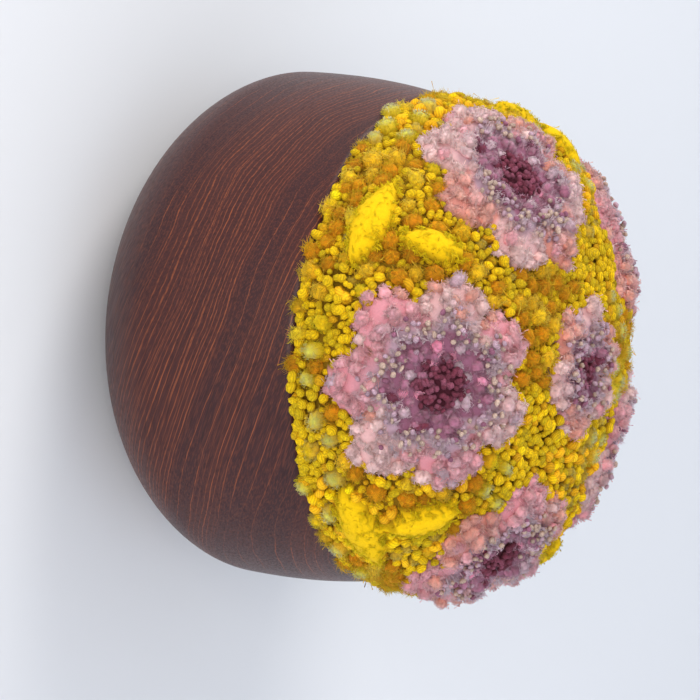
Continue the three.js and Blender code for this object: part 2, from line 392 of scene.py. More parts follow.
# seed is that of the random field that gathers a stitch into patches, and least the field's lowest value in
# them. small and large are radii in millimetres. spacing is a share of touching, tries counts places drawn.
Stitch = namedtuple("Stitch", "kind zone seed least small large spacing tries")
STITCHES = (
    Stitch("slub_knot", SLUB_ZONE, 5, -0.25, 0.75, 1.1, 0.58, 90000),
    Stitch("petal_tuft", PETAL_ZONE, None, 0, 2.3, 3.3, 0.57, 30000),
    Stitch("pompom", GROUND, 3, 0.45, 3.4, 4.4, 0.9, 4000),
    Stitch("fluff", GROUND, 53, 0.25, 3.6, 4.8, 0.58, 9000),
    Stitch("velvet_dot", GROUND, 21, 0.2, 2.2, 3.0, 0.85, 8000),
    Stitch("gold_loop", GROUND, 34, 0.4, 1.9, 2.4, 0.68, 8000),
    Stitch("mauve_tuft", RING_ZONE, None, 0, 1.9, 2.7, 0.56, 40000),
    Stitch("plum_knot", BUTTON_ZONE, None, 0, 0.75, 1.1, 0.5, 150000),
    Stitch("ground_knot", GROUND, None, 0, 1.35, 1.95, 0.64, 40000),
    Stitch("filling_knot", GROUND, None, 0, 0.9, 1.3, 0.6, 50000),
)
PATCH_WAVELENGTH = 60 * MM
MOST_STITCHES = 12000

Placed = namedtuple("Placed", "point normal tangent side radius flower petal reach pile")


@functools.cache
def stitch_layout():
    """Every stitch of the dome by its kind, the large ones first and small knots in what is left."""
    rng = seeded(0)
    taken = np.empty((MOST_STITCHES, 3))
    taken_radius = np.empty(MOST_STITCHES)
    count = 0
    layout = {}
    for stitch in STITCHES:
        along, around = crown().draw(rng, stitch.tries)
        points, normals, outward, sideways = crown().places(along, around)
        worked = worked_at(points)
        radii = between(rng, stitch.small, stitch.large, stitch.tries) * MM
        wanted = worked.zone == stitch.zone
        if stitch.seed:
            wanted &= drift(points, PATCH_WAVELENGTH, stitch.seed) > stitch.least
        kept = []
        for i in np.flatnonzero(wanted):
            apart = ((taken[:count] - points[i]) ** 2).sum(1)
            touching = ((taken_radius[:count] + radii[i]) * stitch.spacing) ** 2
            if (apart < touching).any():
                continue
            taken[count] = points[i]
            taken_radius[count] = radii[i]
            count += 1
            kept.append(i)
        spin = rng.random(len(kept)) * 2 * math.pi
        tangent = outward[kept] * np.cos(spin)[:, None] + sideways[kept] * np.sin(spin)[:, None]
        side = np.cross(normals[kept], tangent)
        motif = (column[kept] for column in worked[1:])
        layout[stitch.kind] = Placed(points[kept], normals[kept], tangent, side, radii[kept], *motif)
    return layout


def chosen(placed, which):
    """Some of the placed stitches."""
    return Placed(*(column[which] for column in placed))


def together(*groups):
    """Several groups of placed stitches as one."""
    return Placed(*(np.concatenate(columns) for columns in zip(*groups)))


# Mesh helpers


def mesh_points(mesh):
    points = np.empty(len(mesh.vertices) * 3)
    mesh.vertices.foreach_get("co", points)
    return points.reshape(-1, 3)


def dye(mesh, tints):
    """Gives each point of a mesh its own colour of yarn."""
    rgba = np.concatenate([tints, np.ones((len(tints), 1))], 1).astype(np.float32)
    mesh.color_attributes.new(TINT, "FLOAT_COLOR", "POINT").data.foreach_set("color", rgba.ravel())


def joined_mesh(name, points, triangles, tints, normals, winding):
    """One mesh object from arrays: points with colours, places on a map and, unless None, normals."""
    mesh = bpy.data.meshes.new(name)
    mesh.vertices.add(len(points))
    mesh.vertices.foreach_set("co", points.astype(np.float32).ravel())
    mesh.loops.add(triangles.size)
    mesh.loops.foreach_set("vertex_index", triangles.astype(np.int32).ravel())
    mesh.polygons.add(len(triangles))
    mesh.polygons.foreach_set("loop_start", np.arange(0, triangles.size, 3, dtype=np.int32))
    mesh.update(calc_edges=True)
    mesh.shade_smooth()
    dye(mesh, tints)
    layer = mesh.uv_layers.new(name=WINDING)
    layer.uv.foreach_set("vector", winding[triangles.ravel()].astype(np.float32).ravel())
    if normals is not None:
        mesh.normals_split_custom_set_from_vertices(normals)
    piece = bpy.data.objects.new(name, mesh)
    bpy.context.scene.collection.objects.link(piece)
    return piece


def dress(piece, material):
    """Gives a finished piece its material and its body."""
    piece.data.materials.clear()
    piece.data.materials.append(material)
    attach(piece, "root")
    return piece


def deselect_all():
    bpy.ops.object.select_all(action="DESELECT")


def turned_piece(name, rings, segments):
    """A closed piece turned about Y: a disc, extruded ring by ring to each (radius, height off the wall)."""
    deselect_all()
    radius, height = rings[0]
    bpy.ops.mesh.primitive_circle_add(
        vertices=segments, radius=radius, fill_type="NGON", location=(0, -height, 0), rotation=QUARTER_TURN
    )
    piece = bpy.context.object
    piece.name = piece.data.name = name
    bpy.ops.object.transform_apply()
    bpy.ops.object.mode_set(mode="EDIT")
    bpy.ops.mesh.select_all(action="SELECT")
    for next_radius, next_height in rings[1:]:
        bpy.ops.mesh.extrude_region_move(TRANSFORM_OT_translate={"value": (0, height - next_height, 0)})
        draw_in = next_radius / radius
        bpy.ops.transform.resize(value=(draw_in, 1, draw_in), center_override=(0, -next_height, 0))
        radius, height = next_radius, next_height
    bpy.ops.mesh.select_all(action="SELECT")
    bpy.ops.mesh.normals_make_consistent(inside=False)
    bpy.ops.object.mode_set(mode="OBJECT")
    return piece


def smoothed(piece, levels):
    """Applies a subdivision surface and shades the piece smooth."""
    bpy.context.view_layer.objects.active = piece
    modifier = piece.modifiers.new("Smooth", "SUBSURF")
    modifier.levels = modifier.render_levels = levels
    bpy.ops.object.modifier_apply(modifier=modifier.name)
    bpy.ops.object.shade_smooth()


def template_arrays(piece):
    """Points and triangles of a modelled stitch, whose object is then removed."""
    mesh = piece.data
    points = mesh_points(mesh)
    mesh.calc_loop_triangles()
    triangles = np.empty(len(mesh.loop_triangles) * 3, dtype=np.int32)
    mesh.loop_triangles.foreach_get("vertices", triangles)
    bpy.data.objects.remove(piece)
    bpy.data.meshes.remove(mesh)
    return points, triangles.reshape(-1, 3)


# Shader helpers


class NodeBoard:
    """Adds and links the nodes of one material or node group."""

    COLOUR_MIX = (0, 6, 7)  # the Mix node's sockets for a factor and two colours
    COLOUR_RESULT = 2

    def __init__(self, tree):
        self.tree = tree
        tree.nodes.clear()

    def add(self, kind, inputs=None, **values):
        node = self.tree.nodes.new(kind)
        for name, value in values.items():
            setattr(node, name, value)
        for name, value in (inputs or {}).items():
            self.feed(node.inputs[name], value)
        return node

    def feed(self, socket, value):
        if isinstance(value, bpy.types.NodeSocket):
            self.tree.links.new(value, socket)
        else:
            socket.default_value = value

    def math(self, operation, *values, clamp=False):
        inputs = dict(enumerate(values))
        return self.add("ShaderNodeMath", inputs, operation=operation, use_clamp=clamp).outputs[0]

    def times(self, first, second):
        return self.math("MULTIPLY", first, second)

    def mix(self, factor, first, second, blend="MIX"):
        inputs = dict(zip(self.COLOUR_MIX, (factor, first, second)))
        node = self.add("ShaderNodeMix", inputs, data_type="RGBA", blend_type=blend)
        return node.outputs[self.COLOUR_RESULT]

    def shade(self, tint, level):
        """A colour times a level of grey."""
        grey = self.add("ShaderNodeCombineColor", {"Red": level, "Green": level, "Blue": level}).outputs[0]
        return self.mix(1.0, tint, grey, "MULTIPLY")

    def scale(self, vector, factors):
        return self.add("ShaderNodeVectorMath", {0: vector, 1: factors}, operation="MULTIPLY").outputs[0]

    def noise(self, vector, scale, detail, roughness=0.5, dimensions="3D"):
        inputs = {"Vector": vector, "Scale": scale, "Detail": detail, "Roughness": roughness}
        return self.add("ShaderNodeTexNoise", inputs, noise_dimensions=dimensions).outputs["Fac"]

    def bump(self, height, strength, distance):
        inputs = {"Height": height, "Strength": strength, "Distance": distance}
        return self.add("ShaderNodeBump", inputs).outputs[0]

    def fade(self, value, low, high, start=0.0, end=1.0):
        inputs = {"Value": value, "From Min": low, "From Max": high, "To Min": start, "To Max": end}
        return self.add("ShaderNodeMapRange", inputs, interpolation_type="SMOOTHSTEP").outputs[0]


def new_material(name):
    material = bpy.data.materials.new(name)
    material.use_nodes = True
    return material, NodeBoard(material.node_tree)


def opaque(colour_value):
    return (*colour_value, 1.0)


# Yarn

# Finish of all yarn, how deep light goes into cut pile, and how far bump stands out
YARN_FINISH = {"Roughness": 0.9, "Specular IOR Level": 0.25, "Sheen Roughness": 0.4}
PILE_GLOW = {"Subsurface Weight": 0.6, "Subsurface Scale": 2.0 * MM, "Subsurface Radius": (1.0, 1.0, 1.0)}
YARN_RELIEF = 0.3 * MM
NOISE_MIDDLE = 0.5
STRAND_WAVE = 4 * math.pi  # angle of a strand's wave for one turn of the winding map
# Painted shade in the grooves between a knot's turns: its near-black colour and how strongly it darkens them
STRAND_GAP_SHADE = (0.03, 0.02, 0.0)
STRAND_SHADE_STRENGTH = 0.25
COMBING = (16, 1.2, 0)  # stretch of the streaks round a tuft and up it
STREAK_RELIEF = 2.0


def effect_group(name, *values):
    """A new node group over a tint, with these other inputs: its tree, its board and what it is given."""
    tree = bpy.data.node_groups.new(name, "ShaderNodeTree")
    for in_out, socket, kind in (
        ("INPUT", "Tint", "NodeSocketColor"),
        *(("INPUT", value, "NodeSocketFloat") for value in values),
        ("OUTPUT", "Colour", "NodeSocketColor"),
        ("OUTPUT", "Height", "NodeSocketFloat"),
    ):
        tree.interface.new_socket(socket, in_out=in_out, socket_type=kind)
    board = NodeBoard(tree)
    return tree, board, board.add("NodeGroupInput").outputs


@functools.cache
def spun_fibre():
    """Shared effect: the flecks and fine fibre of spun yarn."""
    tree, board, given = effect_group("Spun Fibre", "Fleck", "Scale")
    where = board.add("ShaderNodeTexCoord").outputs["Object"]
    fibre = board.noise(where, given["Scale"], detail=3.0, roughness=0.7)
    level = board.math("ADD", board.times(board.math("SUBTRACT", fibre, NOISE_MIDDLE), given["Fleck"]), 1.0)
    board.add("NodeGroupOutput", {"Colour": board.shade(given["Tint"], level), "Height": fibre})
    return tree


@functools.cache
def wound_turns():
    """Shared effect: turns of yarn round a stitch, with painted shade in the gaps between them."""
    tree, board, given = effect_group("Wound Turns")
    places = board.add("ShaderNodeUVMap", uv_map=WINDING).outputs[0]
    around, along, _ = board.add("ShaderNodeSeparateXYZ", {0: places}).outputs
    strand = board.math("SINE", board.times(board.math("ADD", around, along), STRAND_WAVE))
    ridge = board.fade(strand, low=-1.0, high=0.6)
    groove_shade = board.times(board.math("SUBTRACT", 1.0, ridge), STRAND_SHADE_STRENGTH)
    groove_shaded = board.mix(groove_shade, given["Tint"], opaque(STRAND_GAP_SHADE))
    board.add("NodeGroupOutput", {"Colour": groove_shaded, "Height": ridge})
    return tree


@functools.cache
def combed_streaks():
    """Shared effect: light and dark streaks up a tuft of cut pile."""
    tree, board, given = effect_group("Combed Streaks", "Streak")
    places = board.add("ShaderNodeUVMap", uv_map=WINDING).outputs[0]
    streak = board.noise(board.scale(places, COMBING), 1.0, detail=2.0, dimensions="2D")
    darkest = board.math("SUBTRACT", 1.0, given["Streak"])
    lightest = board.math("ADD", 1.0, given["Streak"])
    level = board.fade(streak, low=0.3, high=0.7, start=darkest, end=lightest)
    height = board.times(streak, STREAK_RELIEF)
    board.add("NodeGroupOutput", {"Colour": board.shade(given["Tint"], level), "Height": height})
    return tree


def yarn_material(name, sheen_yarn, sheen, fleck, scale, bump, wound=False, streaked=0.0):
    """Matt yarn in its stitches' own colours. Wound yarn shows its turns with painted shade between them, and
    cut pile its streaks.
    """
    material, board = new_material(name)
    effects = [(wound_turns(), {})] if wound else []
    if streaked:
        effects.append((combed_streaks(), {"Streak": streaked}))
    effects.append((spun_fibre(), {"Fleck": fleck, "Scale": scale}))
    tint = board.add("ShaderNodeAttribute", attribute_name=TINT).outputs["Color"]
    height = 0.0
    for group, values in effects:
        effect = board.add("ShaderNodeGroup", {"Tint": tint, **values}, node_tree=group).outputs
        tint = effect["Colour"]
        height = board.math("ADD", height, effect["Height"])
    relief = board.bump(height, bump, YARN_RELIEF)
    inputs = {"Base Color": tint, "Normal": relief, **YARN_FINISH}
    inputs |= {"Sheen Weight": sheen, "Sheen Tint": opaque(yarn_colour(sheen_yarn))}
    if streaked:
        inputs |= PILE_GLOW
    shader = board.add("ShaderNodeBsdfPrincipled", inputs)
    board.add("ShaderNodeOutputMaterial", {"Surface": shader.outputs[0]})
    return material


# Turned bowl


def swelling_curve(inner, outer, low, high, fullness, steps):
    """(radius, height) from the foot or floor out to the belly."""
    turn = np.linspace(0, math.pi / 2, steps)
    reach = np.sin(turn) ** (2 / fullness)
    climb = 1 - np.cos(turn).clip(0) ** (2 / fullness)
    return list(zip(inner + (outer - inner) * reach, low + (high - low) * climb))


def drawn_in_curve(belly, rim, low, high, fullness, steps):
    """(radius, height) from the belly in to the lip."""
    shrink = (1 - (rim / belly) ** fullness) ** (1 / fullness)
    climb = np.linspace(0, 1, steps + 1)[1:]
    reach = (1 - (climb * shrink) ** fullness) ** (1 / fullness)
    return list(zip(belly * reach, low + climb * (high - low)))


FOOT_EDGE = 0.8 * MM
OUTSIDE_STEPS = 16
INSIDE_STEPS = 8
LIP_STEPS = 8
BOWL_SEGMENTS = 64


def bowl_rings(bowl):
    """The bowl's profile: foot, outside, lip and inside, as (radius, height)."""
    half_lip = bowl.lip / 2
    lip_foot = bowl.rim_height - half_lip

    def side(foot, low, belly, rim, steps):
        swelling = swelling_curve(foot, belly, low, bowl.belly_height, bowl.lower_fullness, steps)
        return swelling + drawn_in_curve(belly, rim, bowl.belly_height, lip_foot, bowl.upper_fullness, steps)

    outside = side(bowl.foot_radius, 0, bowl.belly_radius, bowl.rim_radius, OUTSIDE_STEPS)
    turns = np.linspace(0, math.pi, LIP_STEPS + 1)[1:-1]
    middle = bowl.rim_radius - half_lip
    lip = [(middle + half_lip * math.cos(turn), lip_foot + half_lip * math.sin(turn)) for turn in turns]
    inside_foot = bowl.foot_radius - bowl.wall
    inside_belly = bowl.belly_radius - bowl.wall
    inside = side(inside_foot, bowl.floor, inside_belly, bowl.rim_radius - bowl.lip, INSIDE_STEPS)
    return [(bowl.foot_radius - FOOT_EDGE, 0), *outside, *lip, *reversed(inside)]


# The wood's grain: its lie, and how far patterns are drawn out along it. Scales count to a metre.
GRAIN_TURN = (math.radians(-25), math.radians(6), 0)
PITH = (0.03, 0.21, 0.0)
LAYER_STRETCH = (1, 1, 0.22)
FIBRE_STRETCH = (1, 1, 0.09)
PORE_STRETCH = (1, 1, 0.05)
LAYER_SWAYS = ((16.0, 22 * MM), (95.0, 2.2 * MM), (520.0, 0.7 * MM))  # scale and reach
BOLD_LINES = (210.0, 0.05)  # lines to a metre, and their width as a share of their spacing
FINE_LINES = (620.0, 0.16)
DENSE_BANDS = 24.0
HEART_BANDS = 60.0
WARMTH = 0.75
LINE_STRENGTH = 0.85
PORE_STRENGTH = 0.4
PORE_DEPTH = 0.5
PORE_RELIEF = 0.1 * MM
WOOD_SPECULAR = 0.28


def wood_material(bowl):
    """Satin dark hardwood: growth layers about a far pith, cut by the turned side into thin light lines."""
    material, board = new_material("Satin Turned Hardwood")
    where = board.add("ShaderNodeTexCoord").outputs["Object"]
    lie = {"Vector": where, "Location": PITH, "Rotation": GRAIN_TURN}
    along_grain = board.add("ShaderNodeMapping", lie).outputs[0]
    layered = board.scale(along_grain, LAYER_STRETCH)
    fibrous = board.scale(along_grain, FIBRE_STRETCH)
    across_grain = board.scale(along_grain, (1, 1, 0))
    layer = board.add("ShaderNodeVectorMath", {0: across_grain}, operation="LENGTH").outputs["Value"]
    for scale, reach in LAYER_SWAYS:
        layer = board.math("MULTIPLY_ADD", board.noise(layered, scale, detail=2.0), reach, layer)

    def growth_lines(per_metre, width):
        inputs = {"W": board.times(layer, per_metre), "Scale": 1.0}
        kind = {"voronoi_dimensions": "1D", "feature": "DISTANCE_TO_EDGE"}
        edge = board.add("ShaderNodeTexVoronoi", inputs, **kind).outputs["Distance"]
        return board.fade(edge, low=0.0, high=width, start=1.0, end=0.0)

    def bands(per_metre):
        inputs = {"W": board.times(layer, per_metre), "Scale": 1.0, "Detail": 2.0}
        return board.add("ShaderNodeTexNoise", inputs, noise_dimensions="1D").outputs["Fac"]

    dense = board.fade(bands(DENSE_BANDS), low=0.44, high=0.66)
    broken = board.fade(board.noise(fibrous, scale=900.0, detail=2.0), low=0.3, high=0.6, start=0.3)
    fading = board.fade(board.noise(layered, scale=45.0, detail=1.0), low=0.4, high=0.6, start=0.25)
    fibres = board.fade(board.noise(fibrous, scale=2200.0, detail=2.0), low=0.4, high=0.75, end=0.22)
    pores = board.noise(board.scale(along_grain, PORE_STRETCH), scale=1500.0, detail=1.0)
    hollow = board.fade(pores, low=0.56, high=0.7)
    bold = board.times(board.times(growth_lines(*BOLD_LINES), broken), fading)
    fine = board.times(board.times(growth_lines(*FINE_LINES), broken), dense)
    heart = board.fade(bands(HEART_BANDS), low=0.3, high=0.7)
    wood = board.mix(heart, opaque(bowl.heartwood), opaque(bowl.body_wood))
    for mask, strength, laid_on in (
        (fibres, 1.0, bowl.grain_line),
        (dense, WARMTH, bowl.warm_wood),
        (fine, LINE_STRENGTH, bowl.grain_line),
        (bold, LINE_STRENGTH, bowl.grain_line),
        (hollow, PORE_STRENGTH, [PORE_DEPTH * channel for channel in bowl.heartwood]),
    ):
        wood = board.mix(board.times(mask, strength), wood, opaque(laid_on))
    inputs = {"Base Color": wood, "Specular IOR Level": WOOD_SPECULAR}
    inputs["Roughness"] = board.fade(pores, low=0.3, high=0.7, start=0.36, end=0.48)
    inputs["Normal"] = board.bump(board.math("SUBTRACT", 1.0, hollow), strength=0.1, distance=PORE_RELIEF)
    shader = board.add("ShaderNodeBsdfPrincipled", inputs)
    board.add("ShaderNodeOutputMaterial", {"Surface": shader.outputs[0]})
    return material


class WALLPIECE_OT_turned_bowl(bpy.types.Operator):
    """Turn the wooden bowl from a disc, foot to the wall"""

    bl_idname = "wall_piece.turned_bowl"
    bl_label = "Turned Bowl"

    def execute(self, context):
        bowl = settings().bowl
        piece = turned_piece("turned_bowl", bowl_rings(bowl), BOWL_SEGMENTS)
        smoothed(piece, levels=1)
        dress(piece, wood_material(bowl))
        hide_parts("bowl")
        return {"FINISHED"}


# Ground cloth


class WALLPIECE_OT_ground_cloth(bpy.types.Operator):
    """Crown the ground cloth in the bowl's mouth, swelled under flowers and leaves, its edge tucked in"""

    bl_idname = "wall_piece.ground_cloth"
    bl_label = "Ground Cloth"

    RINGS = 36
    SEGMENTS = 128
    TAPER = 1 * MM
    SWELL = 0.45  # share of the worked height that the cloth and its packed roots fill
    LEAF_SWELL = 0.9
    LEAF_LUMP = 0.2  # share of the lumps left under a leaf's even velvet
    BARE = 1.0 * MM
    LUMP = 0.3 * MM
    LUMP_WAVES = ((4.5 * MM, 91), (8 * MM, 92))  # wavelength and seed
    HEIGHT_SLACK = 0.2 * MM  # allowances in telling the crown's points from the tucked edge's
    RADIUS_SLACK = 1 * MM

    def execute(self, context):
        dome, bowl, cloth = settings().dome, settings().bowl, crown()
        plug = bowl.rim_radius - bowl.lip - dome.mouth_ease
        along = np.linspace(cloth.length, 0, self.RINGS)[:-1]
        crown_rings = zip(cloth.at(cloth.radius, along), cloth.base + cloth.at(cloth.height, along))
        rings = [(plug - self.TAPER, cloth.base - dome.tuck_depth), (plug, cloth.base), *crown_rings]
        piece = turned_piece("ground_cloth", rings, self.SEGMENTS)
        smoothed(piece, levels=1)
        self.swell_dye_and_shade(piece.data)
        dress(piece, yarn_material("Ground Cloth", "ground", sheen=0.2, fleck=0.4, scale=1400.0, bump=0.4))
        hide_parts("embroidered_dome")
        return {"FINISHED"}

    def swell_dye_and_shade(self, mesh):
        """Moves the crown's points out under what is worked on them, and dyes them to match it, darkened by
        painted shade.
        """
        points = mesh_points(mesh)
        radius = np.hypot(points[:, 0], points[:, 2])
        height = -points[:, 1] - crown().base
        above = height > self.HEIGHT_SLACK
        at_edge = (height > -self.HEIGHT_SLACK) & (radius > crown().radius[-1] - self.RADIUS_SLACK)
        within = radius < settings().dome.cloth_radius + self.RADIUS_SLACK
        on_crown = np.flatnonzero(within & (above | at_edge))
        along = crown().along_of(radius[on_crown], height[on_crown])
        around = np.arctan2(points[on_crown, 2], points[on_crown, 0])
        cloth, normal, _, _ = crown().places(along, around)
        worked = worked_at(cloth)
        lumps = self.LUMP * sum(drift(cloth, *wave) for wave in self.LUMP_WAVES)
        leaf = worked.zone == LEAF_ZONE
        lumps[leaf] *= self.LEAF_LUMP
        swell = np.where(leaf, self.LEAF_SWELL, self.SWELL) * worked.pile
        points[on_crown] = cloth + normal * np.clip(self.BARE + lumps + swell, 0, None)[:, None]
        mesh.vertices.foreach_set("co", points.astype(np.float32).ravel())
        tints = np.tile(yarn_colour("ground"), (len(points), 1))
        tints[on_crown] = shaded_root_tints(worked)
        dye(mesh, tints)
        mesh.update()


def blended(first, second, share_of_second):
    return first * (1 - share_of_second) + second * share_of_second


LILAC_REACH = 0.8  # where in a flower the petals start to turn lilac
LILAC_MOST = 0.6


def petal_tints(worked):
    """The dyed colour of each place's own petal, turning lilac towards the flower's middle."""
    motifs = zip(worked.flower, worked.petal)
    names = [FLOWERS[f].petal_yarns[p % 2] if f >= 0 else "ground" for f, p in motifs]
    tints = np.array([yarn_colour(name) for name in names])
    inner = np.clip((LILAC_REACH - worked.reach) / (LILAC_REACH - SLUB_SHARE), 0, 1)
    return blended(tints, yarn_colour("lilac"), LILAC_MOST * inner[:, None])


# The yarn whose packed roots show in each zone, and how far painted shade darkens its colour there
SHADED_ROOT_YARNS = (
    (LEAF_ZONE, "lemon", 0.82),
    (SLUB_ZONE, "lilac", 0.7),
    (RING_ZONE, "mauve", 0.7),
    (BUTTON_ZONE, "plum", 0.5),
)
PETAL_ROOT_SHADE = 0.7


def shaded_root_tints(worked):
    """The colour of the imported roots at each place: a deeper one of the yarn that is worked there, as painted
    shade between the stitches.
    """
    tints = np.tile(yarn_colour("ground"), (len(worked.zone), 1))
    petals = worked.zone == PETAL_ZONE
    tints[petals] = PETAL_ROOT_SHADE * petal_tints(worked)[petals]
    for zone, name, depth in SHADED_ROOT_YARNS:
        tints[worked.zone == zone] = depth * yarn_colour(name)
    return tints


# Stitches

# Painted shade: what a yarn's colour is multiplied by in the depth between stitches, where the painted shade
# turns it warmer
PAINTED_SHADE = np.array([0.74, 0.6, 0.5])
SHADE_IN_KNOT = 1.4
KNOT_SHADE_FALL = 1.5  # how fast the painted shade falls off up a knot or loop
DYE_RANGE = (0.002, 0.98)


def spread_copies(template, placed, across, upright, lift):
    """A modelled stitch at every place: its points scaled across and upright, and lifted off the cloth."""
    sizes = np.stack([across, across, upright], 1)
    axes = np.stack([placed.tangent, placed.side, placed.normal], 1) * sizes[:, :, None]
    middles = placed.point + placed.normal * lift[:, None]
    return (template @ axes + middles[:, None, :]).reshape(-1, 3)


def repeat_triangles(triangles, size, copies):
    return (triangles[None] + (np.arange(copies) * size)[:, None, None]).reshape(-1, 3)


def leaned(rng, placed, lean, stretch=0.12):
    """The same stitches, each leaning a little its own way and drawn a little out of round."""
    normal = unit(placed.normal + lean * rng.normal(size=placed.normal.shape))
    tangent = unit(placed.tangent - normal * (placed.tangent * normal).sum(1)[:, None])
    drawn = np.exp(stretch * rng.normal(size=(len(normal), 1)))
    return placed._replace(normal=normal, tangent=tangent * drawn, side=np.cross(normal, tangent) / drawn)


def mixed_tints(rng, names, weights, count, spread=0.12):
    """One dyed colour for each stitch: a yarn drawn by weight, a little lighter or darker."""
    palette = np.array([yarn_colour(name) for name in names])
    drawn = palette[rng.choice(len(names), count, p=np.array(weights) / sum(weights))]
    return np.clip(drawn * (1 + spread * rng.normal(size=(count, 1))), *DYE_RANGE)


def shaped_template(stretch):
    """Points and triangles of the new primitive in hand, drawn out along its axes in edit mode."""
    piece = bpy.context.object
    bpy.ops.object.transform_apply()
    bpy.ops.object.mode_set(mode="EDIT")
    bpy.ops.mesh.select_all(action="SELECT")
    bpy.ops.transform.resize(value=stretch)
    bpy.ops.object.mode_set(mode="OBJECT")
    return template_arrays(piece)


@functools.cache
def knot_template():
    """One wound knot: a ball drawn flat, its turns of yarn raised round it. Also its winding map."""
    flatness = 0.88
    raised = 0.08
    strands = 2
    twist = 4
    slant = 1.3
    deselect_all()
    bpy.ops.mesh.primitive_uv_sphere_add(segments=7, ring_count=5, radius=1)
    points, triangles = shaped_template((1, 1, flatness))
    turn = np.arctan2(points[:, 1], points[:, 0])
    rise = points[:, 2] / flatness
    swell = 1 + raised * np.sin(strands * turn + twist * rise)
    winding = np.stack([np.abs(turn) / math.pi, slant * rise], 1)
    return points * swell[:, None], triangles, winding


@functools.cache
def loop_template():
    """One bulky punched loop: a ring of yarn standing on edge. Also its winding map."""
    depth = 1.35
    slant = 1.2
    deselect_all()
    bpy.ops.mesh.primitive_torus_add(
        major_segments=9, minor_segments=6, major_radius=0.52, minor_radius=0.48, rotation=QUARTER_TURN
    )
    points, triangles = shaped_template((1, depth, 1))
    turn = np.arctan2(points[:, 2], points[:, 0])
    winding = np.stack([2 * np.abs(turn) / math.pi, slant * points[:, 1]], 1)
    return points, triangles, winding


def stitched(name, template, placed, tints, upright, lift, material):
    """A piece of many like stitches, darker towards the cloth with painted shade."""
    points, triangles, winding = template
    copies = len(placed.radius)
    lower, upper = points[:, 2].min(), points[:, 2].max()
    # painted shade: each stitch's colour is darkened from partway up it down to the cloth
    depth = 1 - np.clip((points[:, 2] - lower) / (upper - lower) * KNOT_SHADE_FALL, 0, 1)
    shaded = tints[:, None, :] * PAINTED_SHADE ** (SHADE_IN_KNOT * depth[None, :, None])
    piece = joined_mesh(
        name,
        spread_copies(points, placed, placed.radius, upright, lift),
        repeat_triangles(triangles, len(points), copies),
        shaded.reshape(-1, 3),
        None,
        np.tile(winding, (copies, 1)),
    )
    return dress(piece, material)


# The row of knots at the cloth's edge. Jitter is a share of the spacing. Inset, radius and lift are ranges.
BORDER_SPACING = 2.7 * MM
BORDER_JITTER = 0.3
BORDER_INSET = (0.72 * MM, 1.68 * MM)
BORDER_RADIUS = (1.5 * MM, 2.0 * MM)
BORDER_LIFT = (0.7, 1.2)


def border_knots(rng):
    """A row of knots along the cloth's edge, over the bowl's lip."""
    count = int(2 * math.pi * crown().radius[-1] / BORDER_SPACING)
    around = (np.arange(count) + BORDER_JITTER * rng.random(count)) * 2 * math.pi / count
    places = crown().places(crown().length - between(rng, *BORDER_INSET, count), around)
    radius = between(rng, *BORDER_RADIUS, count)
    nowhere = np.full(count, -1)
    return Placed(*places, radius, nowhere, nowhere, np.ones(count), np.zeros(count))


# A knot sinks into the pile by a share of its radius, and rises again by part of rise, in millimetres.
FlowerKnot = namedtuple("FlowerKnot", "kind lean stretch yarns weights spread depth sunk rise")
FLOWER_KNOTS = (
    FlowerKnot("plum_knot", 0.2, 0.12, ("plum", "wine"), (4, 3), 0.15, 1.0, 0.7, 0.8),
    FlowerKnot("slub_knot", 0.4, 0.14, ("cream", "lilac", "mauve"), (5, 3, 1), 0.12, 0.85, 0.6, 0.9),
)


class WALLPIECE_OT_knots(bpy.types.Operator):
    """Wind the small knots of the ground, of its border, and of the flowers' middles"""

    bl_idname = "wall_piece.knots"
    bl_label = "Wound Knots"

    GREEN_WAVE = (45 * MM, 55)  # wavelength and seed of the greener patches
    GREENEST = 0.5
    SWELL_WAVE = (22 * MM, 77)
    SWELL = 0.9 * MM

    def execute(self, context):
        rng = seeded(1)
        finish = {"sheen": 0.2, "fleck": 0.9, "scale": 1700.0, "bump": 0.8, "wound": True}
        ground_yarn = yarn_material("Ground Knot Yarn", "yellow", **finish)
        self.wind_ground(rng, ground_yarn)
        self.wind_border(rng, ground_yarn)
        self.wind_flowers(rng, yarn_material("Flower Knot Yarn", "mauve", **finish))
        return {"FINISHED"}

    def wind_ground(self, rng, material):
        layout = stitch_layout()
        ground = leaned(rng, together(layout["ground_knot"], layout["filling_knot"]), lean=0.18)
        tints = mixed_tints(rng, ("yellow", "chartreuse", "mustard"), (6, 3, 1), len(ground.radius))
        greener = np.clip(drift(ground.point, *self.GREEN_WAVE), 0, 1) * self.GREENEST
        tints = blended(tints, yarn_colour("chartreuse"), greener[:, None])
        swell = np.clip(self.SWELL * (1 + drift(ground.point, *self.SWELL_WAVE)), 0, None)
        lift = ground.radius + swell
        stitched("ground_knots", knot_template(), ground, tints, ground.radius, lift, material)

    def wind_border(self, rng, material):
        border = leaned(rng, border_knots(rng), lean=0.1)
        count = len(border.radius)
        tints = mixed_tints(rng, ("yellow", "lemon", "mustard"), (4, 3, 1), count)
        lift = border.radius * between(rng, *BORDER_LIFT, count)
        stitched("border_knots", knot_template(), border, tints, border.radius, lift, material)

    def wind_flowers(self, rng, material):
        for knot in FLOWER_KNOTS:
            placed = leaned(rng, stitch_layout()[knot.kind], knot.lean, knot.stretch)
            count = len(placed.radius)
            tints = knot.depth * mixed_tints(rng, knot.yarns, knot.weights, count, knot.spread)
            lift = placed.pile - knot.sunk * placed.radius + knot.rise * MM * rng.random(count)
            stitched(f"{knot.kind}s", knot_template(), placed, tints, placed.radius, lift, material)


